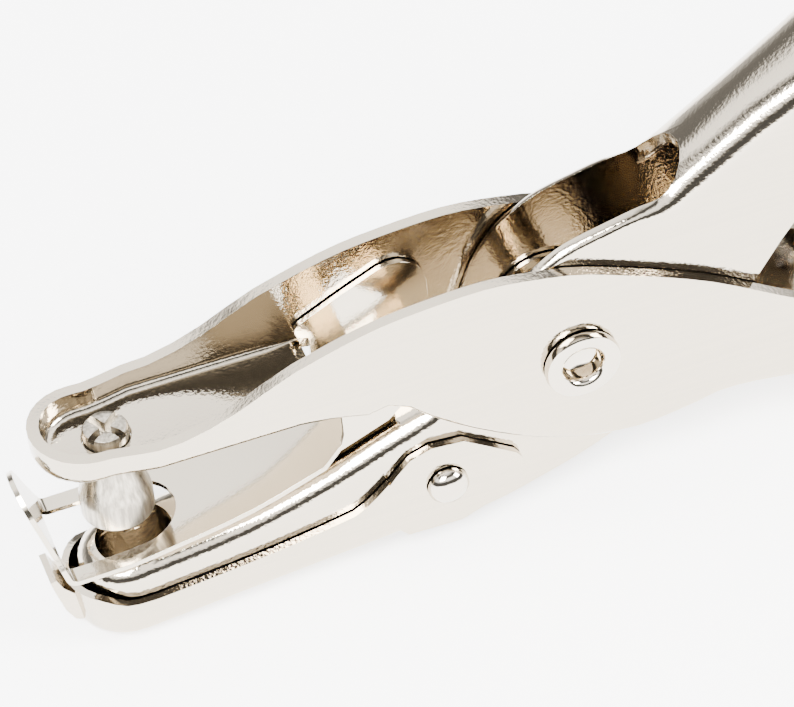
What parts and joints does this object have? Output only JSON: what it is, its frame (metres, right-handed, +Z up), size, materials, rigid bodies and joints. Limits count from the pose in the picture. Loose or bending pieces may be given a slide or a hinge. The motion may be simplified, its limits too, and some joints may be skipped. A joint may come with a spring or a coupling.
{
  "type": "hole punch",
  "caption": "Plier-type single hole punch in plated pressed steel: crossed levers on a pivot rivet, round punch and die, stripper leaf, drop-down chip tray and return spring.",
  "frame": {"origin": "bottom centre of the bounding box, jaws open", "axes": "+X from the jaws to the handles, +Y along the pivot axis, +Z up, with the upper jaw level"},
  "size_m": [0.1304, 0.0136, 0.0558],
  "materials": {
    "nickel_plate": "bright nickel plate",
    "bright_nickel": "bright nickel plate",
    "turned_steel": "turned and plated",
    "spring_steel": "drawn wire"
  },
  "bodies": {
    "punch_lever": {"punch_lever": "nickel_plate", "punch_pin": "turned_steel", "pivot_rivet": "bright_nickel", "pivot_washer": "bright_nickel", "spring_pin": "bright_nickel", "return_spring": "spring_steel"},
    "die_lever": {"die_lever": "nickel_plate", "tray_rivet_near": "bright_nickel", "tray_rivet_far": "bright_nickel"},
    "chip_tray": {"chip_tray": "nickel_plate"},
    "stripper": {"stripper_leaf": "bright_nickel"},
    "spring_arm": {"spring_arm": "spring_steel"}
  },
  "joints": [
    {"name": "lever_pivot", "type": "hinge", "parent": "punch_lever", "child": "die_lever", "pos_m": [-0.01884, 0, 0.01679], "axis": [0, 1, 0], "range_deg": [0, 7], "stiffness_Nm_per_rad": 0.5, "springref_deg": -40.11},
    {"name": "tray_hinge", "type": "hinge", "parent": "die_lever", "child": "chip_tray", "pos_m": [-0.03076, 0, 0.00716], "axis": [0, 1, 0], "range_deg": [-15, 0]},
    {"name": "stripper_hinge", "type": "hinge", "parent": "punch_lever", "child": "stripper", "pos_m": [-0.03334, 0, 0.02099], "axis": [0, 1, 0], "range_deg": [0, 7.7]},
    {"name": "spring_arm_hinge", "type": "hinge", "parent": "punch_lever", "child": "spring_arm", "pos_m": [0.00516, 0, 0.01119], "axis": [0, 1, 0], "range_deg": [0, 11.9]}
  ],
  "couplings": [
    {"joint": "stripper_hinge", "follows": "lever_pivot", "ratio": 1.1},
    {"joint": "spring_arm_hinge", "follows": "lever_pivot", "ratio": 1.7}
  ]
}
